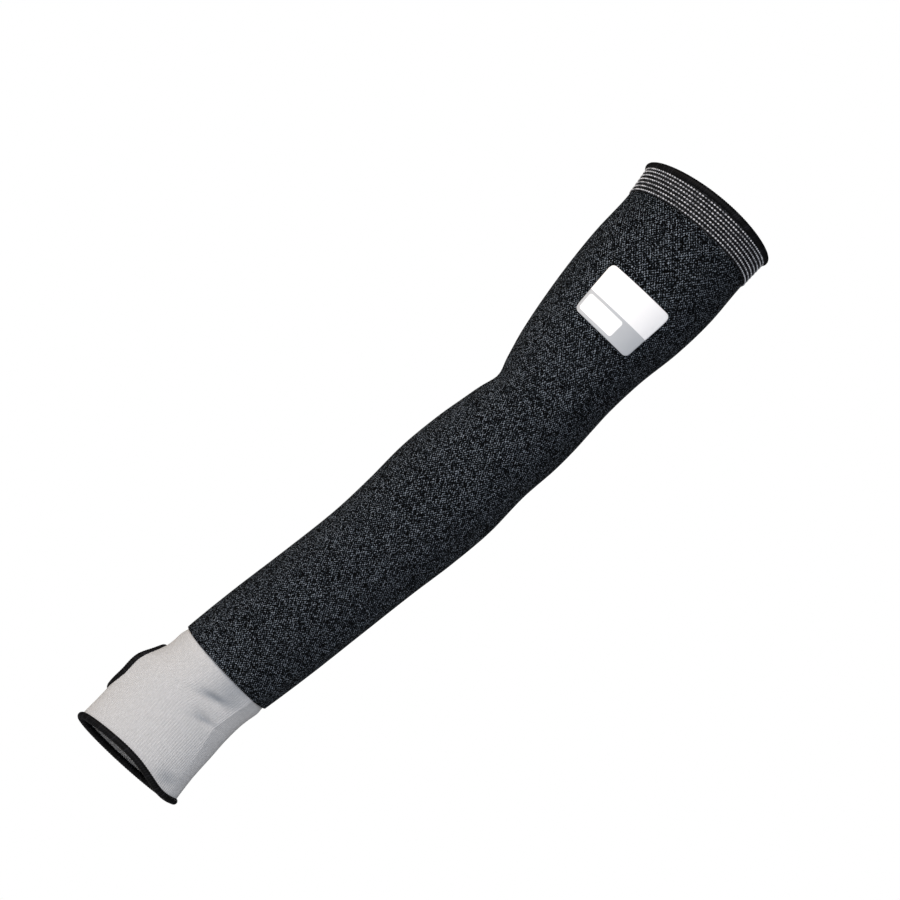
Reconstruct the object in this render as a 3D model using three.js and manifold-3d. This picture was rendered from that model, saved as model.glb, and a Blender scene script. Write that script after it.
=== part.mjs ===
// A knitted cut resistant sleeve in its worn form, on a left arm that hangs down, in millimetres.
// +Z points up to the shoulder, -X is the thumb side and -Y is the back of the hand. The origin is
// the middle of the upper opening. The ribbed top, the dark tube, the white cuff, the two rolled
// hems, the bound edge of the thumb hole and the label are separate closed pieces.
import * as THREE from "three";
import { mergeVertices } from "three/addons/utils/BufferGeometryUtils.js";
import Module from "manifold-3d";

const wasm = await Module();
wasm.setup();

// Driving dimensions: the form of the arm
const sleeveLength = 546; // straight, from the middle of one opening to the middle of the other
const upperArmWidth = 103;
const upperArmDepth = 92;
const elbowWidth = 75;
const elbowDepth = 77;
const forearmWidth = 84;
const forearmDepth = 77;
const wristWidth = 75;
const wristDepth = 54;
const palmWidth = 85;
const palmDepth = 46;
const elbowSideOffset = 18; // how far the bent elbow lies towards the little-finger side
const elbowFrontOffset = 31; // how far it lies towards the back of the hand

// Driving dimensions: the knit
const knitWall = 1.5;
const cuffWall = 1.2;
const clearance = 0.3; // between two pieces
const ovalClearance = 0.9; // where the binding follows the cut oval
const ribCount = 7; // rows of stitches over the elastic
const ribPitch = 3.1;
const firstRib = 5.1; // from the edge of the knit to the middle of the first row
const ribHeight = 0.5;
const cuffLength = 92; // the white stretch that shows
const cuffLap = 6; // how far the white knit runs on inside the dark tube
const cuffEase = 9; // over which the cuff comes out to the full outline
const creaseHeight = 1.8;
const foldDepth = 2;
const foldReach = 1.5; // how many of its lengths a fold reaches each way
const edgeDip = 3; // how far the upper opening dips at the thumb and little-finger edges
const dipReach = 10;
const hemDroop = 5.5; // how far the hand opening sags beside the little finger
const droopReach = 40;

// Driving dimensions: the edges and the label
const upperHemCover = 1.65; // thread over each face of the knit that the hem wraps
const handHemCover = 1.2;
const thumbEdgeCover = 1;
const thumbPlugReach = 3; // how far the cut goes past each face of the wall
const thumbHoleLength = 42;
const thumbHoleWidth = 30; // round the hand
const thumbHoleFromHem = 48; // from its middle to the hand opening
const labelWidth = 53;
const labelHeight = 39;
const labelCorner = 4;
const labelThickness = 0.6;
const labelFromTop = 102; // from its middle to the upper opening
const labelTurn = THREE.MathUtils.degToRad(2.4); // down at the little-finger side

// Directions round the arm: 0 is the little-finger edge, and they turn over the palm to the thumb
const backOfHand = THREE.MathUtils.degToRad(-90);
const thumbHoleEdge = THREE.MathUtils.degToRad(196);
const droopDegrees = { turn: -44, spread: 32 };
const creaseSpread = 10; // degrees over which the crease falls to a third

// Fineness of the faceted surfaces
const stepsAround = 40;
const tubeRows = { outer: 32, inner: 16 };
const cuffRows = { outer: 18, inner: 12 };
const hemSides = 8;
const thumbEdgeSteps = 32;
const labelCells = { across: 6, up: 4, corner: 3 };

// The sizes that the cross-sections below are shares of
const upperArm = { width: upperArmWidth, depth: upperArmDepth };
const elbow = { width: elbowWidth, depth: elbowDepth };
const forearm = { width: forearmWidth, depth: forearmDepth };
const wrist = { width: wristWidth, depth: wristDepth };
const palm = { width: palmWidth, depth: palmDepth };

// Cross-sections from the shoulder end down. along is a share of the length, side and front are
// shares of elbowSideOffset and elbowFrontOffset. Each is an ellipse, in a plane that tilt turns up at
// the little-finger side and rake turns up at the back of the hand, in degrees.
const sections = [
  { along: 0.0, of: upperArm, width: 1.0, depth: 1.0, side: -0.04, front: 0.0, tilt: 7.2, rake: 8 },
  { along: 0.05, of: upperArm, width: 0.965, depth: 0.99, side: 0.15, front: 0.155, tilt: 6.8, rake: 12 },
  { along: 0.11, of: upperArm, width: 0.975, depth: 0.98, side: 0.31, front: 0.38, tilt: 6.5, rake: 12 },
  { along: 0.165, of: upperArm, width: 0.935, depth: 0.94, side: 0.42, front: 0.58, tilt: 6, rake: 11 },
  { along: 0.22, of: upperArm, width: 0.855, depth: 0.9, side: 0.5, front: 0.75, tilt: 5.5, rake: 9.5 },
  { along: 0.27, of: upperArm, width: 0.79, depth: 0.87, side: 0.67, front: 0.88, tilt: 5, rake: 7 },
  { along: 0.305, of: elbow, width: 1.025, depth: 1.02, side: 0.87, front: 0.94, tilt: 4.8, rake: 5 },
  { along: 0.335, of: elbow, width: 1.0, depth: 1.0, side: 1.0, front: 0.98, tilt: 4.5, rake: 3 },
  { along: 0.37, of: elbow, width: 1.035, depth: 1.0, side: 0.96, front: 1.0, tilt: 3.8, rake: 1 },
  { along: 0.42, of: forearm, width: 0.955, depth: 1.0, side: 0.83, front: 0.99, tilt: 2.8, rake: -2 },
  { along: 0.48, of: forearm, width: 1.0, depth: 1.0, side: 0.82, front: 0.94, tilt: 1.5, rake: -4 },
  { along: 0.54, of: forearm, width: 0.965, depth: 0.96, side: 0.8, front: 0.855, tilt: 0.9, rake: -5 },
  { along: 0.6, of: forearm, width: 0.925, depth: 0.91, side: 0.7, front: 0.76, tilt: 0.6, rake: -5 },
  { along: 0.68, of: forearm, width: 0.925, depth: 0.84, side: 0.5, front: 0.64, tilt: 0.4, rake: -5 },
  { along: 0.76, of: forearm, width: 0.935, depth: 0.78, side: 0.28, front: 0.515, tilt: 0.2, rake: -5 },
  { along: 0.83, of: wrist, width: 1.03, depth: 1.04, side: 0.09, front: 0.41, tilt: 0, rake: -4.5 },
  { along: 0.868, of: wrist, width: 1.0, depth: 1.0, side: 0.0, front: 0.37, tilt: 1.1, rake: -3 },
  { along: 0.9, of: palm, width: 0.975, depth: 1.13, side: -0.21, front: 0.35, tilt: 2.5, rake: 0 },
  { along: 0.93, of: palm, width: 0.985, depth: 1.09, side: -0.15, front: 0.37, tilt: 3.5, rake: 5.5 },
  { along: 0.965, of: palm, width: 0.995, depth: 1.04, side: -0.08, front: 0.45, tilt: 4.2, rake: 11 },
  { along: 1.0, of: palm, width: 1.024, depth: 1.0, side: 0.025, front: 0.59, tilt: 4.7, rake: 16 },
].map((row) => ({ ...row, width: row.width * row.of.width, depth: row.depth * row.of.depth }));

// The lengthwise crease that flat packing pressed into the knit: its height is a share of
// creaseHeight, and turn is how many degrees it lies from the little-finger edge.
const creaseLine = [
  { along: 0.5, height: 0, turn: 25 },
  { along: 0.58, height: 0.8, turn: 27 },
  { along: 0.68, height: 1, turn: 31 },
  { along: 0.76, height: 1, turn: 35 },
  { along: 0.84, height: 1, turn: 43 },
  { along: 0.9, height: 0.9, turn: 45 },
  { along: 0.94, height: 0.4, turn: 38 },
  { along: 1.0, height: 0, turn: 30 },
];

// Dents across the tube: in the crook of the elbow, two in the wrist, and one over the hand hem.
// length is a share of the sleeve's, turn and spread are degrees, depth is a share of foldDepth.
const folds = [
  { along: 0.329, length: 0.016, turn: 180, spread: 50, depth: 1 },
  { along: 0.868, length: 0.007, turn: -74, spread: 16, depth: 1.5 },
  { along: 0.897, length: 0.006, turn: -60, spread: 14, depth: 1.2 },
  { along: 0.98, length: 0.012, turn: -48, spread: 14, depth: 0.5 },
];

// The base of the thumb lifts the edge of its hole: a swell, so its depth is below zero.
const thumbSwell = { along: 0.914, length: 0.03, turn: -170, spread: 14, depth: -1.1 };

// The value of a table's column at one place along it, on a smooth curve through the rows.
function readTable(table, column, along) {
  const found = table.findLastIndex((row) => row.along <= along);
  const index = Math.min(Math.max(found, 0), table.length - 2);
  const reach = table[index + 1].along - table[index].along;
  const part = THREE.MathUtils.clamp((along - table[index].along) / reach, 0, 1);
  const slope = (at) => {
    const before = table[Math.max(at - 1, 0)];
    const after = table[Math.min(at + 1, table.length - 1)];
    return (reach * (after[column] - before[column])) / (after.along - before.along);
  };
  const ease = (3 - 2 * part) * part ** 2;
  return (
    (1 - ease) * table[index][column] +
    ease * table[index + 1][column] +
    part * (1 - part) ** 2 * slope(index) -
    part ** 2 * (1 - part) * slope(index + 1)
  );
}

// Degrees from a direction in the tables to an angle round the arm, from -180 to 180.
function degreesFrom(turn, angle) {
  const apart = THREE.MathUtils.radToDeg(angle) - turn;
  return THREE.MathUtils.euclideanModulo(apart + 180, 360) - 180;
}

// How far the knit stands out of its plain section, by the crease, the folds and the swell.
function relief(along, angle) {
  const fromCrease = Math.abs(degreesFrom(-readTable(creaseLine, "turn", along), angle));
  const ridge = readTable(creaseLine, "height", along) * Math.exp(-fromCrease / creaseSpread);
  const dents = [...folds, thumbSwell].map((fold) => {
    const lengthwise = (along - fold.along) / fold.length;
    const crosswise = degreesFrom(fold.turn, angle) / fold.spread;
    return fold.depth * Math.exp(-(lengthwise ** 2) - crosswise ** 2);
  });
  return creaseHeight * ridge - foldDepth * dents.reduce((sum, dent) => sum + dent, 0);
}

// How far the knit sags along the arm, close to the two openings.
function sag(along, angle) {
  const nearTop = Math.max(0, 1 - (along * sleeveLength) / dipReach);
  const nearHand = Math.max(0, 1 - ((1 - along) * sleeveLength) / droopReach);
  const crosswise = degreesFrom(droopDegrees.turn, angle) / droopDegrees.spread;
  const dip = edgeDip * nearTop ** 2 * Math.cos(angle) ** 2;
  return dip + hemDroop * nearHand ** 2 * Math.exp(-(crosswise ** 2));
}

// The plane, the middle and the half sizes of the section at one place along the sleeve.
function sectionAt(along) {
  const tilt = THREE.MathUtils.degToRad(readTable(sections, "tilt", along));
  const rake = THREE.MathUtils.degToRad(readTable(sections, "rake", along));
  const right = new THREE.Vector3(Math.cos(tilt), 0, Math.sin(tilt));
  const back = new THREE.Vector3(0, Math.cos(rake), -Math.sin(rake));
  return {
    right,
    back,
    up: new THREE.Vector3().crossVectors(right, back).normalize(),
    centre: new THREE.Vector3(
      elbowSideOffset * readTable(sections, "side", along),
      -elbowFrontOffset * readTable(sections, "front", along),
      -sleeveLength * along,
    ),
    halfWidth: readTable(sections, "width", along) / 2,
    halfDepth: readTable(sections, "depth", along) / 2,
  };
}

// A point of the knit's outer face, moved outwards by lift.
function knitPoint(along, angle, lift) {
  const section = sectionAt(along);
  const { halfWidth, halfDepth } = section;
  const outwards = new THREE.Vector2(Math.cos(angle) / halfWidth, Math.sin(angle) / halfDepth)
    .normalize()
    .multiplyScalar(lift + relief(along, angle));
  return section.centre
    .addScaledVector(section.right, halfWidth * Math.cos(angle) + outwards.x)
    .addScaledVector(section.back, halfDepth * Math.sin(angle) + outwards.y)
    .addScaledVector(section.up, -sag(along, angle));
}

// One ring of points round the arm.
function knitRing(along, lift) {
  return Array.from({ length: stepsAround }, (_, step) =>
    knitPoint(along, (2 * Math.PI * step) / stepsAround, lift),
  );
}

// Places evenly spaced from start to end, both included.
function spread(start, end, count) {
  return Array.from({ length: count + 1 }, (_, step) => start + ((end - start) * step) / count);
}

// The same, with places of their own for the folds that lie between start and end.
function spreadOverFolds(start, end, count) {
  const isWithin = ({ along, length }) => along - length > start && along + length < end;
  const within = folds.filter(isWithin);
  const beside = (along) => within.some((fold) => Math.abs(along - fold.along) < foldReach * fold.length);
  const atFolds = within.flatMap(({ along, length }) => [along - length, along, along + length]);
  const kept = (along, index) => index % count === 0 || !beside(along);
  const even = spread(start, end, count).filter(kept);
  return [...even, ...atFolds].sort((one, other) => one - other);
}

function meshGeometry(points, triangles) {
  const geometry = new THREE.BufferGeometry();
  const places = points.flatMap((point) => [point.x, point.y, point.z]);
  geometry.setAttribute("position", new THREE.Float32BufferAttribute(places, 3));
  geometry.setIndex(triangles);
  return geometry;
}

// A closed band whose rings follow each other down its outside and back up its inside.
function bandGeometry(rings) {
  const steps = rings[0].length;
  const triangles = rings.flatMap((ring, row) => {
    const start = row * steps;
    const nextStart = ((row + 1) % rings.length) * steps;
    return ring.flatMap((_, step) => {
      const nextStep = (step + 1) % steps;
      const [a, b] = [start + step, nextStart + step];
      const [c, d] = [nextStart + nextStep, start + nextStep];
      return [a, b, c, a, c, d];
    });
  });
  return meshGeometry(rings.flat(), triangles);
}

// A knit wall from one place along the arm to another. Its outer face may stand out or in by
// outerLift(along), and its inner face lies a wall deeper.
function wallGeometry(outerPlaces, innerPlaces, wall, outerLift) {
  const outer = outerPlaces.map((along) => knitRing(along, outerLift(along)));
  const inner = innerPlaces.map((along) => knitRing(along, outerLift(along) - wall));
  return bandGeometry([...outer, ...inner.reverse()]);
}

// The thread that wraps an edge: a round section, slotted where the wall goes in, is carried along
// the edge. edgeAt(step) gives the place, and the knit lies to the left of the way it runs.
function wrappedEdge(edgeAt, steps, wall, room, cover) {
  const slot = wall / 2 + room;
  const radius = slot + cover;
  const mouth = Math.asin(slot / radius);
  const outline = spread(mouth, 2 * Math.PI - mouth, hemSides).map((turn) => ({
    inwards: radius * Math.cos(turn),
    outwards: radius * Math.sin(turn),
  }));
  outline.push({ inwards: -room, outwards: -slot }, { inwards: -room, outwards: slot });
  const frames = Array.from({ length: steps }, (_, step) => {
    const middle = -wall / 2;
    const place = knitPoint(...edgeAt(step), middle);
    const behind = knitPoint(...edgeAt(step - 0.5), middle);
    const ahead = knitPoint(...edgeAt(step + 0.5), middle).sub(behind);
    const outwards = knitPoint(...edgeAt(step), middle + 1).sub(place).normalize();
    const inwards = new THREE.Vector3().crossVectors(ahead.normalize(), outwards).normalize();
    return { place, outwards, inwards };
  });
  const rings = outline.reverse().map((corner) =>
    frames.map((frame) =>
      frame.place
        .clone()
        .addScaledVector(frame.inwards, corner.inwards)
        .addScaledVector(frame.outwards, corner.outwards),
    ),
  );
  return bandGeometry(rings);
}

// A slab between two grids of points, its outer face and its inner face.
function slabGeometry(outer, inner) {
  const [columns, rows] = [outer.length, outer[0].length];
  const at = (side, column, row) => (side * columns + column) * rows + row;
  const quad = (a, b, c, d) => [a, b, c, a, c, d];
  const triangles = [];
  for (let column = 0; column < columns - 1; column += 1) {
    for (let row = 0; row < rows - 1; row += 1) {
      const corners = (side) => [
        at(side, column, row),
        at(side, column + 1, row),
        at(side, column + 1, row + 1),
        at(side, column, row + 1),
      ];
      triangles.push(...quad(...corners(0)), ...quad(...corners(1).reverse()));
    }
  }
  const rim = [
    ...spread(0, columns - 2, columns - 2).map((column) => [column, 0]),
    ...spread(0, rows - 2, rows - 2).map((row) => [columns - 1, row]),
    ...spread(columns - 1, 1, columns - 2).map((column) => [column, rows - 1]),
    ...spread(rows - 1, 1, rows - 2).map((row) => [0, row]),
  ];
  rim.forEach((corner, index) => {
    const next = rim[(index + 1) % rim.length];
    triangles.push(...quad(at(1, ...corner), at(1, ...next), at(0, ...next), at(0, ...corner)));
  });
  return meshGeometry([...outer.flat(), ...inner.flat()], triangles);
}

// Places along the sleeve where one piece ends and the next begins
const ribsStart = firstRib - ribPitch / 2;
const ribbedLength = ribsStart + ribCount * ribPitch;
const tubeStart = (ribbedLength + clearance) / sleeveLength;
const tubeEnd = 1 - cuffLength / sleeveLength;

// The ribbed top: a ridge for each row of stitches over the elastic.
function ribbedTop() {
  const ribPlace = (rib) => (ribsStart + rib * ribPitch) / sleeveLength;
  const ribs = spread(0, ribCount, ribCount * 2).map(ribPlace);
  const outerPlaces = [0, ...ribs];
  const crest = (along) => (ribs.indexOf(along) % 2 === 1 ? ribHeight : 0);
  const outer = outerPlaces.map((along) => knitRing(along, crest(along)));
  const inner = spread(0, ribbedLength / sleeveLength, 2).map((along) => knitRing(along, -knitWall));
  return bandGeometry([...outer, ...inner.reverse()]);
}

// The dark tube, from the ribbed top to the wrist.
function darkTube() {
  const outerPlaces = spreadOverFolds(tubeStart, tubeEnd, tubeRows.outer);
  const innerPlaces = spreadOverFolds(tubeStart, tubeEnd, tubeRows.inner);
  return wallGeometry(outerPlaces, innerPlaces, knitWall, () => 0);
}

// How deep the cuff's outer face lies: inside the tube's wall at the lap, full further down.
function cuffLift(along) {
  const start = tubeEnd;
  const end = tubeEnd + cuffEase / sleeveLength;
  return -(knitWall + clearance) * (1 - THREE.MathUtils.smoothstep(along, start, end));
}

function toSolid(geometry) {
  const bare = geometry.clone();
  bare.deleteAttribute("normal");
  bare.deleteAttribute("uv");
  const merged = mergeVertices(bare);
  const vertProperties = new Float32Array(merged.attributes.position.array);
  const triVerts = new Uint32Array(merged.index.array);
  return new wasm.Manifold(new wasm.Mesh({ numProp: 3, vertProperties, triVerts }));
}

function toGeometry(solid) {
  const mesh = solid.getMesh();
  const geometry = new THREE.BufferGeometry();
  geometry.setAttribute("position", new THREE.BufferAttribute(mesh.vertProperties, 3));
  geometry.setIndex(new THREE.BufferAttribute(mesh.triVerts, 1));
  return geometry;
}

// Where the oval edge of the thumb hole runs, as a place along the sleeve and an angle.
function thumbHoleAt(step) {
  const turn = (2 * Math.PI * step) / thumbEdgeSteps;
  const middle = 1 - thumbHoleFromHem / sleeveLength;
  const section = sectionAt(middle);
  const halfAngle = thumbHoleWidth / (section.halfWidth + section.halfDepth);
  const along = middle - (thumbHoleLength / 2 / sleeveLength) * Math.sin(turn);
  return [along, thumbHoleEdge - halfAngle + halfAngle * Math.cos(turn)];
}

// A plug through the wall, with the outline of the thumb hole.
function thumbHolePlug() {
  const depths = [thumbPlugReach, -cuffWall - thumbPlugReach];
  const rings = depths.map((lift) =>
    Array.from({ length: thumbEdgeSteps }, (_, step) => knitPoint(...thumbHoleAt(step), lift)),
  );
  const middle = [1 - thumbHoleFromHem / sleeveLength, thumbHoleAt(thumbEdgeSteps / 4)[1]];
  const centres = depths.map((lift) => knitPoint(...middle, lift * 2));
  const points = [...rings.flat(), ...centres];
  const triangles = rings[0].flatMap((_, step) => {
    const next = (step + 1) % thumbEdgeSteps;
    const [lowStep, lowNext] = [step + thumbEdgeSteps, next + thumbEdgeSteps];
    const [topCentre, lowCentre] = [2 * thumbEdgeSteps, 2 * thumbEdgeSteps + 1];
    const caps = [step, next, topCentre, lowNext, lowStep, lowCentre];
    return [...caps, step, lowStep, lowNext, step, lowNext, next];
  });
  return meshGeometry(points, triangles);
}

// The white cuff, lapped inside the tube's end, with the thumb hole cut through it.
function whiteCuff() {
  const lapStart = tubeEnd - cuffLap / sleeveLength;
  const outerPlaces = [lapStart, ...spreadOverFolds(tubeEnd, 1, cuffRows.outer)];
  const innerPlaces = [lapStart, ...spreadOverFolds(tubeEnd, 1, cuffRows.inner)];
  const wall = wallGeometry(outerPlaces, innerPlaces, cuffWall, cuffLift);
  return toGeometry(toSolid(wall).subtract(toSolid(thumbHolePlug())));
}

function upperHem() {
  const edgeAt = (step) => [0, (2 * Math.PI * step) / stepsAround];
  return wrappedEdge(edgeAt, stepsAround, knitWall, clearance, upperHemCover);
}

function handHem() {
  const edgeAt = (step) => [1, (-2 * Math.PI * step) / stepsAround];
  return wrappedEdge(edgeAt, stepsAround, cuffWall, clearance, handHemCover);
}

function thumbHoleBinding() {
  return wrappedEdge(thumbHoleAt, thumbEdgeSteps, cuffWall, ovalClearance, thumbEdgeCover);
}

// The label: a thin patch with round corners that follows the knit round the upper arm. Its rows
// stay straight, as it climbs by as much as the raked section falls away beside the arm's front.
function labelPatch() {
  const middle = labelFromTop / sleeveLength;
  const { halfWidth: radius, halfDepth } = sectionAt(middle);
  const fall = halfDepth * Math.sin(THREE.MathUtils.degToRad(readTable(sections, "rake", middle)));
  const flatHalf = labelWidth / 2 - labelCorner;
  const turns = spread(Math.PI / 2, 0, labelCells.corner);
  const rightEnd = turns.map((turn) => flatHalf + labelCorner * Math.cos(turn));
  const columns = [
    ...rightEnd.map((across) => -across).reverse(),
    ...spread(-flatHalf, flatHalf, labelCells.across).slice(1, -1),
    ...rightEnd,
  ];
  const grid = (lift) =>
    columns.map((across) => {
      const past = Math.max(0, Math.abs(across) - flatHalf);
      const rounding = Math.sqrt(Math.max(0, labelCorner ** 2 - past ** 2));
      const half = labelHeight / 2 - labelCorner + rounding;
      return spread(-half, half, labelCells.up).map((up) => {
        const bow = fall * (1 - Math.cos(across / radius));
        const climb = up - across * Math.tan(labelTurn) + bow;
        return knitPoint(middle - climb / sleeveLength, backOfHand + across / radius, lift);
      });
    });
  return slabGeometry(grid(clearance + labelThickness), grid(clearance));
}

// The colours of the piece's own materials
function darkKnit() {
  return new THREE.MeshStandardMaterial({ color: "#23262b", roughness: 0.9, metalness: 0 });
}

function ribbedKnit() {
  return new THREE.MeshStandardMaterial({ color: "#3a3b3e", roughness: 0.85, metalness: 0 });
}

function whiteKnit() {
  return new THREE.MeshStandardMaterial({ color: "#d0cfcf", roughness: 0.85, metalness: 0 });
}

function blackThread() {
  return new THREE.MeshStandardMaterial({ color: "#17171a", roughness: 0.8, metalness: 0 });
}

function labelFilm() {
  return new THREE.MeshStandardMaterial({ color: "#e6e6e8", roughness: 0.5, metalness: 0 });
}

function addPiece(name, geometry, material) {
  const mesh = new THREE.Mesh(geometry, material);
  mesh.name = name;
  group.add(mesh);
}

const group = new THREE.Group();
group.name = "cut_resistant_sleeve";
addPiece("upper_hem", upperHem(), blackThread());
addPiece("ribbed_top", ribbedTop(), ribbedKnit());
addPiece("arm_tube", darkTube(), darkKnit());
addPiece("hand_cuff", whiteCuff(), whiteKnit());
addPiece("thumb_hole_binding", thumbHoleBinding(), blackThread());
addPiece("hand_hem", handHem(), blackThread());
addPiece("label_patch", labelPatch(), labelFilm());

export default group;
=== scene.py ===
import bpy
from mathutils import Matrix, Vector
import numpy as np


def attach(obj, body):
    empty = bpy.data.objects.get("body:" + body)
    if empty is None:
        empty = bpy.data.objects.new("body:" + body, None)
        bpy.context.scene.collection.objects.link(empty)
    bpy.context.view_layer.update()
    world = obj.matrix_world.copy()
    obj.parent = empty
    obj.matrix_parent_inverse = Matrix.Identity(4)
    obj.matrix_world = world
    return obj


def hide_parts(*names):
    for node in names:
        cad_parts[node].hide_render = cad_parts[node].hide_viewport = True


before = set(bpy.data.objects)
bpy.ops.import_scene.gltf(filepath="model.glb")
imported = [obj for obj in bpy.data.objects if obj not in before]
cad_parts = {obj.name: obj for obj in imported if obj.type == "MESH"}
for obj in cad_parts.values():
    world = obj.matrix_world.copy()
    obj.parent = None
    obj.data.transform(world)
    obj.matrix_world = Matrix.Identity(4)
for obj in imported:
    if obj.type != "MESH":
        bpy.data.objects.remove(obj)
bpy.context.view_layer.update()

# The dark tube: the body of the sleeve, a plain jersey knit of black yarn plied with pale cut
# resistant fibre, so that each stitch shows as a light or a dark fleck. It is stretched over the
# arm and takes the arm's form, with the sharp crease that flat packing pressed into it.
MM = 0.001
sleeve_length = 546
knit_wall = 1.5
clearance = 0.3
cuff_length = 92
elbow_side_offset = 18
elbow_front_offset = 31
crease_height = 1.8
crease_spread = 10
fold_depth = 2
edge_dip = 3
dip_reach = 10
hem_droop = 5.5
droop_reach = 40
droop_turn = -44
droop_spread = 32

# Width and depth of the arm in millimetres, which the sections are shares of
girths = {
    "upper arm": (103, 92),
    "elbow": (75, 77),
    "forearm": (84, 77),
    "wrist": (75, 54),
    "palm": (85, 46),
}


def columns(names, rows):
    """A table as a dict of arrays, one for each named column."""
    return dict(zip(names, np.array(rows, dtype=float).T))


def arm_section(along, girth, width, depth, side, front, tilt, rake):
    """One row of the sections, with its shares turned into millimetres."""
    full_width, full_depth = girths[girth]
    return along, width * full_width, depth * full_depth, side, front, tilt, rake


# Places down the arm are shares of the sleeve's length. A section's middle lies aside and in front by
# shares of the elbow's offsets, and its plane is turned by tilt and rake in degrees.
sections = columns(
    ("along", "width", "depth", "side", "front", "tilt", "rake"),
    [
        arm_section(0.0, "upper arm", 1.0, 1.0, -0.04, 0.0, 7.2, 8),
        arm_section(0.05, "upper arm", 0.965, 0.99, 0.15, 0.155, 6.8, 12),
        arm_section(0.11, "upper arm", 0.975, 0.98, 0.31, 0.38, 6.5, 12),
        arm_section(0.165, "upper arm", 0.935, 0.94, 0.42, 0.58, 6, 11),
        arm_section(0.22, "upper arm", 0.855, 0.9, 0.5, 0.75, 5.5, 9.5),
        arm_section(0.27, "upper arm", 0.79, 0.87, 0.67, 0.88, 5, 7),
        arm_section(0.305, "elbow", 1.025, 1.02, 0.87, 0.94, 4.8, 5),
        arm_section(0.335, "elbow", 1.0, 1.0, 1.0, 0.98, 4.5, 3),
        arm_section(0.37, "elbow", 1.035, 1.0, 0.96, 1.0, 3.8, 1),
        arm_section(0.42, "forearm", 0.955, 1.0, 0.83, 0.99, 2.8, -2),
        arm_section(0.48, "forearm", 1.0, 1.0, 0.82, 0.94, 1.5, -4),
        arm_section(0.54, "forearm", 0.965, 0.96, 0.8, 0.855, 0.9, -5),
        arm_section(0.6, "forearm", 0.925, 0.91, 0.7, 0.76, 0.6, -5),
        arm_section(0.68, "forearm", 0.925, 0.84, 0.5, 0.64, 0.4, -5),
        arm_section(0.76, "forearm", 0.935, 0.78, 0.28, 0.515, 0.2, -5),
        arm_section(0.83, "wrist", 1.03, 1.04, 0.09, 0.41, 0, -4.5),
        arm_section(0.868, "wrist", 1.0, 1.0, 0.0, 0.37, 1.1, -3),
        arm_section(0.9, "palm", 0.975, 1.13, -0.21, 0.35, 2.5, 0),
        arm_section(0.93, "palm", 0.985, 1.09, -0.15, 0.37, 3.5, 5.5),
        arm_section(0.965, "palm", 0.995, 1.04, -0.08, 0.45, 4.2, 11),
        arm_section(1.0, "palm", 1.024, 1.0, 0.025, 0.59, 4.7, 16),
    ],
)
crease_line = columns(
    ("along", "height", "turn"),
    [
        (0.5, 0, 25),
        (0.58, 0.8, 27),
        (0.68, 1, 31),
        (0.76, 1, 35),
        (0.84, 1, 43),
        (0.9, 0.9, 45),
        (0.94, 0.4, 38),
        (1.0, 0, 30),
    ],
)
folds = columns(
    ("along", "length", "turn", "spread", "depth"),
    [
        (0.329, 0.016, 180, 50, 1),
        (0.868, 0.007, -74, 16, 1.5),
        (0.897, 0.006, -60, 14, 1.2),
        (0.98, 0.012, -48, 14, 0.5),
        (0.914, 0.03, -170, 14, -1.1),
    ],
)


def read_table(table, column, along):
    """A column's value at each place, on cubic curves through the rows. The slope at a row is that
    of the straight line between its two neighbours."""
    places, values = table["along"], table[column]
    last = len(places) - 1
    index = np.clip(np.searchsorted(places, along, side="right") - 1, 0, last - 1)
    reach = places[index + 1] - places[index]
    part = np.clip((along - places[index]) / reach, 0, 1)
    before = np.maximum(np.arange(last + 1) - 1, 0)
    after = np.minimum(np.arange(last + 1) + 1, last)
    slopes = (values[after] - values[before]) / (places[after] - places[before])
    ease = (3 - 2 * part) * part**2
    return (
        (1 - ease) * values[index]
        + ease * values[index + 1]
        + part * (1 - part) ** 2 * reach * slopes[index]
        - part**2 * (1 - part) * reach * slopes[index + 1]
    )


def degrees_from(turn, angle):
    """Degrees from a direction to each angle in radians, from -180 to 180."""
    return (np.degrees(angle) - turn + 180) % 360 - 180


def even_angles(steps):
    """Angles in radians at even steps round a full turn."""
    return 2 * np.pi * np.arange(steps) / steps


def relief(along, angle):
    """How far the knit stands out of its plain section: the crease is a ridge that falls off
    exponentially with the angle from its line, and each fold is a bell-shaped dent, or a swell
    where its depth is below zero."""
    from_crease = np.abs(degrees_from(-read_table(crease_line, "turn", along), angle))
    ridge = read_table(crease_line, "height", along) * np.exp(-from_crease / crease_spread)
    dents = 0
    for place, length, turn, spread, depth in zip(*folds.values()):
        crosswise = degrees_from(turn, angle) / spread
        dents = dents + depth * np.exp(-(((along - place) / length) ** 2) - crosswise**2)
    return crease_height * ridge - fold_depth * dents


def sag(along, angle):
    """How far the knit sags along the arm: both edges of the upper opening dip, and the hand
    opening droops beside the little finger, each with the square of the nearness."""
    near_top = np.maximum(0, 1 - along * sleeve_length / dip_reach)
    near_hand = np.maximum(0, 1 - (1 - along) * sleeve_length / droop_reach)
    crosswise = degrees_from(droop_turn, angle) / droop_spread
    dip = edge_dip * near_top**2 * np.cos(angle) ** 2
    return dip + hem_droop * near_hand**2 * np.exp(-(crosswise**2))


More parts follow.
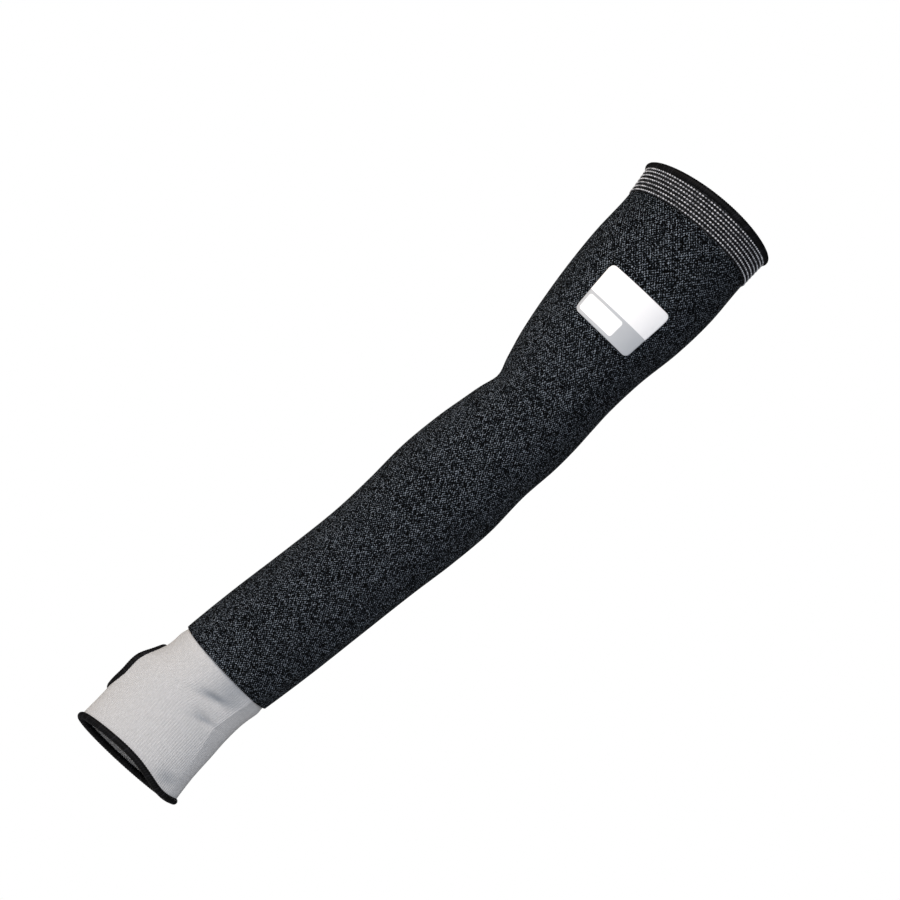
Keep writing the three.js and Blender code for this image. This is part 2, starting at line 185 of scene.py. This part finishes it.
def knit_points(along, angle, lift):
    """Points of the knit's outer face in millimetres. The section at a place is an ellipse in a
    plane turned by tilt and rake. A point moves out by the lift and the relief along the ellipse's
    normal, and down the plane's own normal by the sag."""
    along, angle, lift = np.broadcast_arrays(along, angle, lift)
    tilt = np.radians(read_table(sections, "tilt", along))
    rake = np.radians(read_table(sections, "rake", along))
    level = np.zeros_like(tilt)
    right = np.stack([np.cos(tilt), level, np.sin(tilt)], axis=-1)
    back = np.stack([level, np.cos(rake), -np.sin(rake)], axis=-1)
    up = np.cross(right, back)
    up /= np.linalg.norm(up, axis=-1, keepdims=True)
    half_width = read_table(sections, "width", along) / 2
    half_depth = read_table(sections, "depth", along) / 2
    outwards = np.stack([np.cos(angle) / half_width, np.sin(angle) / half_depth])
    outwards *= (lift + relief(along, angle)) / np.linalg.norm(outwards, axis=0)
    sideways = half_width * np.cos(angle) + outwards[0]
    backwards = half_depth * np.sin(angle) + outwards[1]
    centre = np.stack(
        [
            elbow_side_offset * read_table(sections, "side", along),
            -elbow_front_offset * read_table(sections, "front", along),
            -sleeve_length * along,
        ],
        axis=-1,
    )
    return (
        centre
        + sideways[..., None] * right
        + backwards[..., None] * back
        - sag(along, angle)[..., None] * up
    )


def grid_piece(name, points, pattern, material, wraps_rows=False, wraps_steps=True, kept=None):
    """A smooth piece of quads between the neighbours of a grid of points in millimetres, rows by
    steps. Its last row or step may meet the first, and kept tells which quads there are. The
    pattern is each corner's place on the UV map, with one row or step more where the grid wraps."""
    rows, steps = points.shape[:2]
    row, step = np.meshgrid(
        np.arange(rows if wraps_rows else rows - 1),
        np.arange(steps if wraps_steps else steps - 1),
        indexing="ij",
    )
    corner_rows = np.stack([row, row + 1, row + 1, row], axis=-1).reshape(-1, 4)
    corner_steps = np.stack([step, step, step + 1, step + 1], axis=-1).reshape(-1, 4)
    faces = corner_rows % rows * steps + corner_steps % steps
    places = pattern[corner_rows, corner_steps]
    if kept is not None:
        faces = faces[kept.ravel()]
        places = places[kept.ravel()]
    used, faces = np.unique(faces, return_inverse=True)
    mesh = bpy.data.meshes.new(name)
    mesh.from_pydata(points.reshape(-1, 3)[used] * MM, [], faces.reshape(-1, 4))
    pattern_map = mesh.uv_layers.new(name="knit")
    pattern_map.uv.foreach_set("vector", places.astype(np.float32).ravel())
    mesh.shade_smooth()
    mesh.materials.append(material)
    piece = bpy.data.objects.new(name, mesh)
    bpy.context.scene.collection.objects.link(piece)
    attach(piece, "root")
    return piece


def wall_piece(name, along, angle, lift, wall, pattern, material, **grid):
    """A wall that follows the arm: a grid of its outer face, given its thickness inwards."""
    piece = grid_piece(name, knit_points(along, angle, lift), pattern, material, **grid)
    thickness = piece.modifiers.new("wall", "SOLIDIFY")
    thickness.thickness = wall * MM
    thickness.offset = -1
    return piece


def linear(colour):
    """An sRGB hex colour as linear red, green, blue and full alpha."""
    parts = np.array([int(colour[i : i + 2], 16) for i in (1, 3, 5)]) / 255
    curved = np.where(parts <= 0.04045, parts / 12.92, ((parts + 0.055) / 1.055) ** 2.4)
    return (*curved.tolist(), 1.0)


def add_node(tree, kind, *values, inputs=None, stops=(), **settings):
    """Adds a shader node and gives its outputs. The values fill its inputs in order, and inputs by
    name, each with a value or another node's socket. Stops are a colour ramp's places with their
    sRGB hex colours."""
    node = tree.nodes.new("ShaderNode" + kind)
    for name, value in settings.items():
        setattr(node, name, value)
    for socket, value in [*enumerate(values), *(inputs or {}).items()]:
        if isinstance(value, bpy.types.NodeSocket):
            tree.links.new(value, node.inputs[socket])
        else:
            node.inputs[socket].default_value = value
    if stops:
        elements = node.color_ramp.elements
        for _ in stops[2:]:
            elements.new(1.0)
        for element, (place, colour) in zip(elements, stops):
            element.position = place
            element.color = linear(colour)
    return node.outputs


def new_material(name, sockets):
    """A material with one shader, whose plain values are set on the shader's own sockets."""
    material = bpy.data.materials.new(name)
    material.use_nodes = True
    shader = material.node_tree.nodes["Principled BSDF"].inputs
    for socket, value in sockets.items():
        shader[socket].default_value = value
    return material, material.node_tree, shader


def cover(tree, shader, colour, height, strength, depth):
    """Puts a colour on a shader and raises the surface by a height, up to a depth in millimetres."""
    bump = add_node(tree, "Bump", inputs={"Height": height, "Strength": strength, "Distance": depth * MM})
    tree.links.new(colour, shader["Base Color"])
    tree.links.new(bump["Normal"], shader["Normal"])


def stitch_pattern(tree, slant):
    """The sockets of a jersey knit's pattern: the height of the yarn, and a random number for each
    leg of each stitch. The map counts wales across and courses up. Each wale holds two legs that
    lean out of its middle line by slant courses. The height is twice the root of two distances
    multiplied, from the leg's side and from its end, so that it runs from 0 there to 1 midway."""
    place = add_node(tree, "UVMap", uv_map="knit")["UV"]
    split = add_node(tree, "SeparateXYZ", place)
    in_wale = add_node(tree, "Math", split["X"], operation="FRACT")[0]
    aside = add_node(tree, "Math", in_wale, 0.5, operation="SUBTRACT")[0]
    from_middle = add_node(tree, "Math", aside, operation="ABSOLUTE")[0]
    course = add_node(tree, "Math", from_middle, 2 * slant, split["Y"], operation="MULTIPLY_ADD")[0]
    legs = add_node(tree, "Math", split["X"], 2.0, operation="MULTIPLY")[0]
    across = add_node(tree, "Math", legs, 0.5, operation="PINGPONG")[0]
    upwards = add_node(tree, "Math", course, 0.5, operation="PINGPONG")[0]
    nearness = add_node(tree, "Math", across, upwards, operation="MULTIPLY")[0]
    root = add_node(tree, "Math", nearness, operation="SQRT")[0]
    height = add_node(tree, "Math", root, 2.0, operation="MULTIPLY")[0]
    leg = add_node(tree, "VectorMath", add_node(tree, "CombineXYZ", legs, course)[0], operation="FLOOR")[0]
    fleck = add_node(tree, "TexWhiteNoise", leg, noise_dimensions="2D")["Value"]
    return height, fleck


# A wale comes out about 0.9 mm wide round the arm. The wales, the courses and the yarn's fuzz are
# drawn as coarse as they need to be to show in the render, and the real fibres are finer.
tube_wales = 280
tube_course = 0.65
tube_slant = 0.8
courses_to_a_ply = 2
ply_share = 0.4
fuzz_share = 0.5
fuzz_to_a_mm = 2.6
painted_gap_lightness = 0.15
yarn_depth = 0.5


def speckled_jersey():
    """Plain jersey of black polyester plied with pale polyethylene fibre. The eye sees a matt dark
    cloth, speckled all over. Painted shade darkens the gaps between the stitches. The light and the
    dark ply take turns from wale to wale and every few courses, so the flecks are partly a chequer
    and partly random, and the yarn's fuzz breaks them up."""
    sockets = {"Roughness": 0.9, "Specular IOR Level": 0.04}
    material, tree, shader = new_material("speckled jersey knit", sockets)
    height, fleck = stitch_pattern(tree, tube_slant)
    place = add_node(tree, "UVMap", uv_map="knit")["UV"]
    turns = add_node(tree, "VectorMath", place, (1.0, 1 / courses_to_a_ply, 0.0), operation="MULTIPLY")[0]
    ply = add_node(tree, "TexChecker", turns, inputs={"Scale": 1.0})["Fac"]
    drawn = add_node(tree, "Math", fleck, 1 - ply_share, operation="MULTIPLY")[0]
    plied = add_node(tree, "Math", ply, ply_share, drawn, operation="MULTIPLY_ADD")[0]
    position = add_node(tree, "TexCoord")["Object"]
    fuzz = add_node(tree, "TexNoise", position, inputs={"Scale": fuzz_to_a_mm / MM, "Detail": 1.0})["Fac"]
    fuzzy = add_node(tree, "Math", fuzz, fuzz_share, plied, operation="MULTIPLY_ADD")[0]
    tone = add_node(tree, "Math", fuzzy, fuzz_share / 2, operation="SUBTRACT")[0]
    stops = [(0.0, "#010101"), (0.52, "#030405"), (0.67, "#101318"), (0.82, "#465059"), (1.0, "#c9d5e3")]
    yarn = add_node(tree, "ValToRGB", tone, stops=stops)["Color"]
    # Painted shade: where the stitch height falls, between the legs, the colour is mixed towards
    # near-black #020202
    lit = (height, 1 - painted_gap_lightness, painted_gap_lightness)
    unshaded_share = add_node(tree, "Math", *lit, operation="MULTIPLY_ADD", use_clamp=True)[0]
    mixed = {"Factor": unshaded_share, "A": linear("#020202"), "B": yarn}
    colour = add_node(tree, "Mix", inputs=mixed, data_type="RGBA")["Result"]
    cover(tree, shader, colour, height, strength=0.7, depth=yarn_depth)
    return material


def knit_places(along, steps, wales, course):
    """Each corner's place in the knit: the wale across, and the course up the arm."""
    across = wales * np.arange(steps + 1) / steps
    up = -np.broadcast_to(along, (along.shape[0], steps)) * sleeve_length / course
    up = np.concatenate([up, up[:, :1]], axis=1)
    return np.stack([np.broadcast_to(across, up.shape), up], axis=-1)


first_rib = 5.1
rib_pitch = 3.1
rib_count = 7
ribs_start = first_rib - rib_pitch / 2
ribbed_length = ribs_start + rib_count * rib_pitch
tube_start = (ribbed_length + clearance) / sleeve_length
tube_end = 1 - cuff_length / sleeve_length
tube_steps = 360
tube_rows = 130
tooth = 1.0

# The last row stands out at every other step, as the teeth of a cast-off edge
tube_along = np.linspace(tube_start, tube_end, tube_rows)[:, None] * np.ones(tube_steps)
tube_along[-1] += tooth / sleeve_length * (np.arange(tube_steps) % 2)
arm_tube = wall_piece(
    "speckled_tube",
    tube_along,
    even_angles(tube_steps),
    0,
    knit_wall,
    knit_places(tube_along, tube_steps, tube_wales, tube_course),
    speckled_jersey(),
)
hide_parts("arm_tube")

# The label: a thin film with round corners, pressed on with heat, so that it follows the knit.
# It is printed in two plain tones, white over pale grey, with a white panel in the grey.
label_width = 53
label_height = 39
label_corner = 4
label_thickness = 0.6
label_from_top = 102
label_turn = np.radians(2.4)
back_of_hand = np.radians(-90)
label_columns = 72
label_rows = 48
grey_share = 0.43
panel_width = 31
panel_height = 12.5
panel_corner = 2
panel_from_left = 2.2
panel_from_below = 2.3


def label_film():
    """Heat-pressed polyurethane film. The eye sees a smooth, matt, clean white against the knit,
    with the edges of the grey field and the panel printed crisp. The map runs from 0 to 1 across
    the film and up it, and the panel is where the distance past its straight sides stays within
    the corner's radius."""
    sockets = {"Roughness": 0.6, "Specular IOR Level": 0.25}
    material, tree, shader = new_material("printed label film", sockets)
    place = add_node(tree, "UVMap", uv_map="knit")["UV"]
    up = add_node(tree, "SeparateXYZ", place)["Y"]
    grey = add_node(tree, "Math", up, grey_share, operation="LESS_THAN")[0]
    middle = (panel_from_left + panel_width / 2, panel_from_below + panel_height / 2, 0)
    straight = (panel_width / 2 - panel_corner, panel_height / 2 - panel_corner, 0)
    size = (label_width, label_height, 0)
    past = add_node(tree, "VectorMath", place, size, operation="MULTIPLY")[0]
    past = add_node(tree, "VectorMath", past, middle, operation="SUBTRACT")[0]
    past = add_node(tree, "VectorMath", past, operation="ABSOLUTE")[0]
    past = add_node(tree, "VectorMath", past, straight, operation="SUBTRACT")[0]
    past = add_node(tree, "VectorMath", past, (0, 0, 0), operation="MAXIMUM")[0]
    distance = add_node(tree, "VectorMath", past, operation="LENGTH")["Value"]
    panel = add_node(tree, "Math", distance, panel_corner, operation="LESS_THAN")[0]
    shown = add_node(tree, "Math", grey, panel, operation="SUBTRACT")[0]
    mixed = {"Factor": shown, "A": linear("#f3f3f3"), "B": linear("#b6b9bc")}
    colour = add_node(tree, "Mix", inputs=mixed, data_type="RGBA")["Result"]
    tree.links.new(colour, shader["Base Color"])
    return material


def label_piece():
    """The film as a grid: each column is shortened at the corners by a quarter circle, and each
    point is laid on the knit at its place across and up. It climbs by as much as the raked knit
    falls away from the arm's front, which keeps its rows straight."""
    across = np.linspace(-label_width / 2, label_width / 2, label_columns)
    past = np.maximum(0, np.abs(across) - (label_width / 2 - label_corner))
    half = label_height / 2 - label_corner + np.sqrt(np.maximum(0, label_corner**2 - past**2))
    up = np.linspace(1, -1, label_rows)[:, None] * half
    across = np.broadcast_to(across, up.shape)
    middle = label_from_top / sleeve_length
    radius = read_table(sections, "width", middle) / 2
    bow = np.sin(np.radians(read_table(sections, "rake", middle))) * (1 - np.cos(across / radius))
    climb = up - across * np.tan(label_turn) + read_table(sections, "depth", middle) / 2 * bow
    return wall_piece(
        "printed_label",
        middle - climb / sleeve_length,
        back_of_hand + across / radius,
        clearance + label_thickness,
        label_thickness,
        np.stack([across / label_width + 0.5, up / label_height + 0.5], axis=-1),
        label_film(),
        wraps_steps=False,
    )


label = label_piece()
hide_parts("label_patch")

# The ribbed top: the same knit with seven rows of elastic laid in, each held by a row of pale
# stitches. The elastic pulls the rows up into ribs that grip the upper arm.
rib_height = 0.5
rib_wales = 128
rib_slant = 0.4
wale_height = 0.3
steps_to_a_wale = 4
rows_to_a_rib = 6
rows_above_ribs = 4
pale_yarn_radius = 0.18
pale_loop_radius = 0.42
pale_dive = 0.5
pale_flatness = 0.8


def ribbed_lift(along, angle):
    """How far the ribbed knit stands out: a rounded ridge for each row, and a low one for each wale."""
    rib = (along * sleeve_length - ribs_start) / rib_pitch
    ridge = np.where(rib < 0, 0, np.sin(np.pi * rib) ** 2)
    wale = np.abs(np.sin(rib_wales * angle / 2))
    return rib_height * ridge - wale_height * (1 - wale)


def ribbed_knit():
    """Black polyester yarn, knitted close over the elastic. The eye sees dark grey on the sides of
    the wales, and near-black painted shade in the gaps between the rows."""
    sockets = {"Roughness": 0.85, "Specular IOR Level": 0.12}
    material, tree, shader = new_material("elastic rib knit", sockets)
    height, fleck = stitch_pattern(tree, rib_slant)
    stops = [(0.0, "#0e0e11"), (0.6, "#1b1c1f"), (1.0, "#4b4c50")]
    yarn = add_node(tree, "ValToRGB", fleck, stops=stops)["Color"]
    # Painted shade: where the stitch height falls, in the gaps, the colour is mixed towards #070708
    mixed = {"Factor": height, "A": linear("#070708"), "B": yarn}
    colour = add_node(tree, "Mix", inputs=mixed, data_type="RGBA")["Result"]
    cover(tree, shader, colour, height, strength=0.6, depth=yarn_depth)
    return material


rib_steps = rib_wales * steps_to_a_wale
rib_rows = rib_count * rows_to_a_rib + rows_above_ribs
ribbed_along = np.linspace(0, ribbed_length / sleeve_length, rib_rows)[:, None] * np.ones(rib_steps)
ribbed_top = wall_piece(
    "ribbed_knit",
    ribbed_along,
    even_angles(rib_steps),
    ribbed_lift(ribbed_along, even_angles(rib_steps)),
    knit_wall,
    knit_places(ribbed_along, rib_steps, rib_wales, rib_pitch / 2),
    ribbed_knit(),
)
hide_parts("ribbed_top")


def tube_round(place, outwards, inwards, radius_out, radius_in, turns):
    """Rings of points round a path: at each step a section spanned by two directions."""
    return (
        place
        + (radius_out * np.sin(turns))[..., None] * outwards
        + (radius_in * np.cos(turns))[..., None] * inwards
    )


def edge_frame(along, angle, lift):
    """The place of an edge's steps, the way out of the knit there and the way into the cloth. The
    way in is square to the edge's own direction, which is taken between the steps beside each."""
    place = knit_points(along, angle, lift)
    direction = np.roll(place, -1, axis=0) - np.roll(place, 1, axis=0)
    direction /= np.linalg.norm(direction, axis=-1, keepdims=True)
    outwards = knit_points(along, angle, lift + 1) - place
    outwards /= np.linalg.norm(outwards, axis=-1, keepdims=True)
    inwards = np.cross(direction, outwards)
    inwards /= np.linalg.norm(inwards, axis=-1, keepdims=True)
    return place, outwards, inwards


def pale_yarn():
    """Undyed polyester yarn. The eye sees matt loops of a slightly cold grey, each a little lighter
    or darker than the next."""
    sockets = {"Roughness": 0.8, "Specular IOR Level": 0.2}
    material, tree, shader = new_material("pale elastic stitches", sockets)
    place = add_node(tree, "UVMap", uv_map="knit")["UV"]
    loop = add_node(tree, "VectorMath", place, operation="FLOOR")["Vector"]
    fleck = add_node(tree, "TexWhiteNoise", loop, noise_dimensions="2D")["Value"]
    stops = [(0.0, "#797b7f"), (0.3, "#a2a4a8"), (1.0, "#cfd0d4")]
    yarn = add_node(tree, "ValToRGB", fleck, stops=stops)["Color"]
    tree.links.new(yarn, shader["Base Color"])
    return material


def pale_row(row, steps_to_a_loop=6, sides=6):
    """One row of pale stitches: a thread round the arm that swells into a loop at every wale, and
    dives under the black knit between two loops."""
    steps = rib_wales * steps_to_a_loop
    angle = even_angles(steps)
    along = np.full(steps, (first_rib + row * rib_pitch) / sleeve_length)
    swell = 0.5 - 0.5 * np.cos(rib_wales * angle)
    place, outwards, inwards = edge_frame(along, angle, rib_height - pale_dive * (1 - swell))
    radius = pale_yarn_radius + pale_loop_radius * swell
    turns = -even_angles(sides)[:, None]
    rings = tube_round(place, outwards, inwards, pale_flatness * radius, radius, turns)
    loops = np.arange(steps + 1) / steps_to_a_loop
    pattern = np.stack(np.broadcast_arrays(loops, np.full((sides + 1, 1), row + 0.5)), axis=-1)
    return rings, pattern


pale_material = pale_yarn()
for row in range(rib_count):
    rings, pattern = pale_row(row)
    stitches = grid_piece(f"pale_stitches_{row + 1}", rings, pattern, pale_material, wraps_rows=True)

# The upper hem: the raw edge rolled over and overlocked with black thread, so that it is a round
# roll of thread wraps that lean along the edge.
overlock_lean = 0.35
wrap_relief = 0.3
thread_fuzz_to_a_mm = 2.5
thread_fuzz_depth = 0.2


def overlock_thread():
    """Black polyester thread in close wraps. The eye sees a nearly black roll, with painted shade
    darkening the gaps between the wraps, so each wrap looks a little lighter."""
    sockets = {"Roughness": 0.6, "Specular IOR Level": 0.1}
    material, tree, shader = new_material("black overlock thread", sockets)
    place = add_node(tree, "UVMap", uv_map="knit")["UV"]
    along = add_node(tree, "SeparateXYZ", place)["X"]
    nearness = add_node(tree, "Math", along, 0.5, operation="PINGPONG")[0]
    height = add_node(tree, "Math", nearness, 2.0, operation="MULTIPLY")[0]
    wrap = add_node(tree, "Math", along, operation="FLOOR")[0]
    fleck = add_node(tree, "TexWhiteNoise", inputs={"W": wrap}, noise_dimensions="1D")["Value"]
    stops = [(0.0, "#08080a"), (0.7, "#121215"), (1.0, "#222227")]
    yarn = add_node(tree, "ValToRGB", fleck, stops=stops)["Color"]
    # Painted shade: the gaps between the wraps are mixed towards #020202 by the wrap height
    mixed = {"Factor": height, "A": linear("#020202"), "B": yarn}
    colour = add_node(tree, "Mix", inputs=mixed, data_type="RGBA")["Result"]
    position = add_node(tree, "TexCoord")["Object"]
    scale = thread_fuzz_to_a_mm / MM
    fuzz = add_node(tree, "TexNoise", position, inputs={"Scale": scale, "Detail": 1.0})["Fac"]
    cover(tree, shader, colour, fuzz, strength=0.3, depth=thread_fuzz_depth)
    return material


def overlocked_edge(name, along, angle, wraps, wall, radius_out, radius_in, sides=14):
    """A roll of thread round an edge of the knit. The radius swells with each wrap, and the wraps
    lean, so that their number grows with the turn round the section too."""
    place, outwards, inwards = edge_frame(along, angle, np.full(len(angle), -wall / 2))
    steps = len(angle)
    turns = even_angles(sides)[:, None]
    wrap = wraps * np.arange(steps) / steps + overlock_lean * np.cos(turns)
    swell = wrap_relief * np.abs(np.sin(np.pi * wrap))
    rings = tube_round(place, outwards, inwards, radius_out + swell, radius_in + swell, turns)
    around = np.arange(sides + 1)[:, None] / sides
    across = wraps * np.arange(steps + 1) / steps + overlock_lean * np.cos(2 * np.pi * around)
    pattern = np.stack(np.broadcast_arrays(across, around), axis=-1)
    return grid_piece(name, rings, pattern, black_thread, wraps_rows=True)


black_thread = overlock_thread()
hem_wraps = 190
steps_to_a_wrap = 5
hem_steps = steps_to_a_wrap * hem_wraps
upper_hem = overlocked_edge(
    "upper_overlocked_hem",
    np.zeros(hem_steps),
    even_angles(hem_steps),
    hem_wraps,
    knit_wall,
    radius_out=2.4,
    radius_in=2.4,
)
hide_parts("upper_hem")

# The white cuff: a fine lengthwise rib knit of undyed yarn, lapped inside the end of the tube and
# stretched over the wrist and the palm, with an oval cut through it for the thumb.
cuff_wall = 1.2
cuff_lap = 6
cuff_ease = 9
cuff_ribs = 132
cuff_rib_height = 0.2
cuff_course = 1.2
cuff_slant = 0.5
painted_groove_lightness = 0.4
cuff_yarn_depth = 0.4
steps_to_a_rib = 5
cuff_rows = 64
thumb_hole_length = 42
thumb_hole_width = 30
thumb_hole_from_hem = 48
thumb_hole_edge = np.radians(196)

hole_along = 1 - thumb_hole_from_hem / sleeve_length
hole_half_length = thumb_hole_length / 2 / sleeve_length
hole_girth = read_table(sections, "width", hole_along) + read_table(sections, "depth", hole_along)
hole_half_turn = 2 * thumb_hole_width / hole_girth
hole_turn = thumb_hole_edge - hole_half_turn


def cuff_lift(along, angle):
    """The cuff's outer face: a wall under the tube at the lap, it comes out to the full outline
    over the ease by a smooth step, and carries a low round ridge for each rib."""
    part = np.clip((along - tube_end) * sleeve_length / cuff_ease, 0, 1)
    under = -(knit_wall + clearance) * (1 - (3 - 2 * part) * part**2)
    return under - cuff_rib_height * (1 - np.abs(np.sin(cuff_ribs * angle / 2)))


# Painted shade on the cuff, bluish grey: beside the tube over the wrist bone, in the two folds
#  of the wrist, and over the hand hem, where the folds and the tube's end shade the knit
cuff_painted_shade_places = columns(
    ("along", "length", "turn", "spread", "slant", "strength"),
    [
        (0.843, 0.022, 294, 24, 0.0, 0.5),
        (0.8656, 0.006, 285, 18, 1.3, 0.5),
        (0.898, 0.0045, 300, 14, 1.1, 0.45),
        (0.984, 0.008, 314, 16, 0.7, 0.45),
    ],
)


def cuff_painted_shade(tree):
    """The socket of how much painted shade greys the cuff: the sum of a bell-shaped spot for each
    shaded place, which is found by its course and its wale on the knit's map. A slant turns a spot across
    the arm."""
    place = add_node(tree, "UVMap", uv_map="knit")["UV"]
    grey = 0.0
    for along, length, turn, spread, slant, strength in zip(*cuff_painted_shade_places.values()):
        middle = (cuff_ribs * turn / 360, -along * sleeve_length / cuff_course, 0)
        share = (360 / cuff_ribs / spread, cuff_course / sleeve_length / length, 0)
        apart = add_node(tree, "VectorMath", place, middle, operation="SUBTRACT")[0]
        apart = add_node(tree, "VectorMath", apart, share, operation="MULTIPLY")[0]
        split = add_node(tree, "SeparateXYZ", apart)
        across = split["X"]
        up = add_node(tree, "Math", across, -float(slant), split["Y"], operation="MULTIPLY_ADD")[0]
        square = add_node(tree, "Math", across, across, operation="MULTIPLY")[0]
        square = add_node(tree, "Math", up, up, square, operation="MULTIPLY_ADD")[0]
        power = add_node(tree, "Math", square, -1.0, operation="MULTIPLY")[0]
        bell = add_node(tree, "Math", power, operation="EXPONENT")[0]
        summed = (bell, float(strength), grey)
        grey = add_node(tree, "Math", *summed, operation="MULTIPLY_ADD", use_clamp=True)[0]
    return grey


def white_rib_knit():
    """Undyed polyester and elastane in a fine rib. The eye sees a matt white. Painted shade greys the
    grooves between the ribs, and bluish painted shade greys the folds and the places beside the tube."""
    sockets = {"Roughness": 0.9, "Specular IOR Level": 0.15}
    material, tree, shader = new_material("white rib knit", sockets)
    height, fleck = stitch_pattern(tree, cuff_slant)
    stops = [(0.0, "#bfbfbe"), (0.5, "#c6c6c5"), (1.0, "#cdcdcc")]
    yarn = add_node(tree, "ValToRGB", fleck, stops=stops)["Color"]
    # Painted shade: the grooves between the ribs are mixed towards grey #a4a5a9 by the stitch height
    unshaded_share = add_node(tree, "Math", height, 1 - painted_groove_lightness, painted_groove_lightness, operation="MULTIPLY_ADD")[0]
    mixed = {"Factor": unshaded_share, "A": linear("#a4a5a9"), "B": yarn}
    shaded = add_node(tree, "Mix", inputs=mixed, data_type="RGBA")["Result"]
    # Painted shade: the shaded places are mixed towards bluish grey #737b84
    mixed = {"Factor": cuff_painted_shade(tree), "A": shaded, "B": linear("#737b84")}
    colour = add_node(tree, "Mix", inputs=mixed, data_type="RGBA")["Result"]
    cover(tree, shader, colour, height, strength=0.35, depth=cuff_yarn_depth)
    return material


cuff_steps = cuff_ribs * steps_to_a_rib
cuff_start = tube_end - cuff_lap / sleeve_length
cuff_along = np.linspace(cuff_start, 1, cuff_rows)[:, None] * np.ones(cuff_steps)
cuff_angle = np.broadcast_to(even_angles(cuff_steps), cuff_along.shape)

# Corners inside the oval move out to its edge, and the faces that lie wholly inside are left out. The
# least distance keeps a corner at the very middle from a division by zero.
least_distance = 0.01
hole_up = (hole_along - cuff_along) / hole_half_length
hole_across = (cuff_angle - hole_turn) / hole_half_turn
from_hole = np.maximum(np.hypot(hole_up, hole_across), least_distance)
inside = from_hole < 1
to_edge = np.where(inside, 1 / from_hole, 1)
cut_along = hole_along - hole_up * to_edge * hole_half_length
cut_angle = hole_turn + hole_across * to_edge * hole_half_turn
beside = np.roll(inside, -1, axis=1)
wholly_inside = inside[:-1] & inside[1:] & beside[:-1] & beside[1:]
cuff_pattern = np.stack(
    [
        np.concatenate([cut_angle, cut_angle[:, :1] + 2 * np.pi], axis=1) * cuff_ribs / (2 * np.pi),
        -np.concatenate([cut_along, cut_along[:, :1]], axis=1) * sleeve_length / cuff_course,
    ],
    axis=-1,
)
hand_cuff = wall_piece(
    "white_cuff",
    cut_along,
    cut_angle,
    cuff_lift(cut_along, cut_angle),
    cuff_wall,
    cuff_pattern,
    white_rib_knit(),
    kept=~wholly_inside,
)
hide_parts("hand_cuff")

# The binding of the thumb hole: the same black thread, overlocked through the cuff's cut edge all
# the way round the oval, so that the ribs can't ladder.
binding_wraps = 74
steps_to_a_bound_wrap = 4
binding_steps = steps_to_a_bound_wrap * binding_wraps
thumb_binding = overlocked_edge(
    "thumb_hole_overlocking",
    hole_along - hole_half_length * np.sin(even_angles(binding_steps)),
    hole_turn + hole_half_turn * np.cos(even_angles(binding_steps)),
    binding_wraps,
    cuff_wall,
    radius_out=2.3,
    radius_in=2.5,
)
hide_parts("thumb_hole_binding")

# The hand hem: the cuff's lower edge, rolled over and overlocked with the black thread as the upper
# one is. Its steps run the other way round, because its cloth lies above it.
hand_wraps = 140
hand_steps = steps_to_a_wrap * hand_wraps
hand_hem = overlocked_edge(
    "hand_overlocked_hem",
    np.ones(hand_steps),
    -even_angles(hand_steps),
    hand_wraps,
    cuff_wall,
    radius_out=2.3,
    radius_in=2.3,
)
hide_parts("hand_hem")

# The floor, the light and the camera: a pale studio with the sleeve held up in its middle, and the
# camera rolled so that the arm crosses the picture. Sizes are in metres here.
floor_drop = 1.15
floor_radius = 2.4
sky_light = 0.1
sleeve_middle = (0, 0, -0.27)
camera_distance = 3.0
picture_width = 0.618
picture_middle = (-0.0027, 0, -0.242)
picture_right = (0.6835, 0, 0.730)
sensor_width = 36


def studio_floor():
    """A plain matt pale floor, a disc well below the sleeve."""
    bpy.ops.mesh.primitive_circle_add(
        vertices=96,
        radius=floor_radius,
        fill_type="NGON",
        location=(0, 0, -floor_drop),
    )
    floor = bpy.context.object
    floor.name = "studio_floor"
    sockets = {"Roughness": 0.9, "Base Color": linear("#f2f2f2")}
    floor.data.materials.append(new_material("pale studio floor", sockets)[0])


def soft_light(name, place, size, watts, colour):
    """A square soft light that faces the middle of the sleeve."""
    data = bpy.data.lights.new(name, "AREA")
    data.shape = "SQUARE"
    data.size = size
    data.energy = watts
    data.color = linear(colour)[:3]
    light = bpy.data.objects.new(name, data)
    light.location = place
    direction = Vector(sleeve_middle) - Vector(place)
    light.rotation_euler = direction.to_track_quat("-Z", "Y").to_euler()
    bpy.context.scene.collection.objects.link(light)


def studio_world():
    """An even pale sky: white where it is seen, and dimmer as a light."""
    world = bpy.data.worlds.new("pale studio")
    world.use_nodes = True
    tree = world.node_tree
    seen = add_node(tree, "LightPath")["Is Camera Ray"]
    strength = add_node(tree, "Math", seen, 1 - sky_light, sky_light, operation="MULTIPLY_ADD")[0]
    background = tree.nodes["Background"].inputs
    background["Color"].default_value = linear("#ffffff")
    tree.links.new(strength, background["Strength"])
    bpy.context.scene.world = world


def photo_camera():
    """A long lens in front of the back of the hand, rolled by 47 degrees, so that the picture's right
    points to the little finger's side and up. The lens is the sensor's width times the distance,
    divided by the width that the picture takes in at the sleeve."""
    data = bpy.data.cameras.new("photo_camera")
    data.sensor_width = sensor_width
    data.lens = sensor_width * camera_distance / picture_width
    camera = bpy.data.objects.new("photo_camera", data)
    right = Vector(picture_right)
    back = Vector((0, -1, 0))
    turn = Matrix((right, back.cross(right), back)).transposed().to_4x4()
    camera.matrix_world = Matrix.Translation(Vector(picture_middle) + camera_distance * back) @ turn
    bpy.context.scene.collection.objects.link(camera)
    bpy.context.scene.camera = camera


studio_floor()
studio_world()
soft_light("key_light", place=(-1.8, -1.3, 0.6), size=0.8, watts=33, colour="#fff0e0")
soft_light("front_light", place=(0.0, -2.3, 0.2), size=1.0, watts=38, colour="#f4f7ff")
soft_light("back_light", place=(0.2, 2.4, 0.3), size=1.0, watts=30, colour="#ffffff")
photo_camera()
bpy.context.scene.view_settings.view_transform = "Standard"
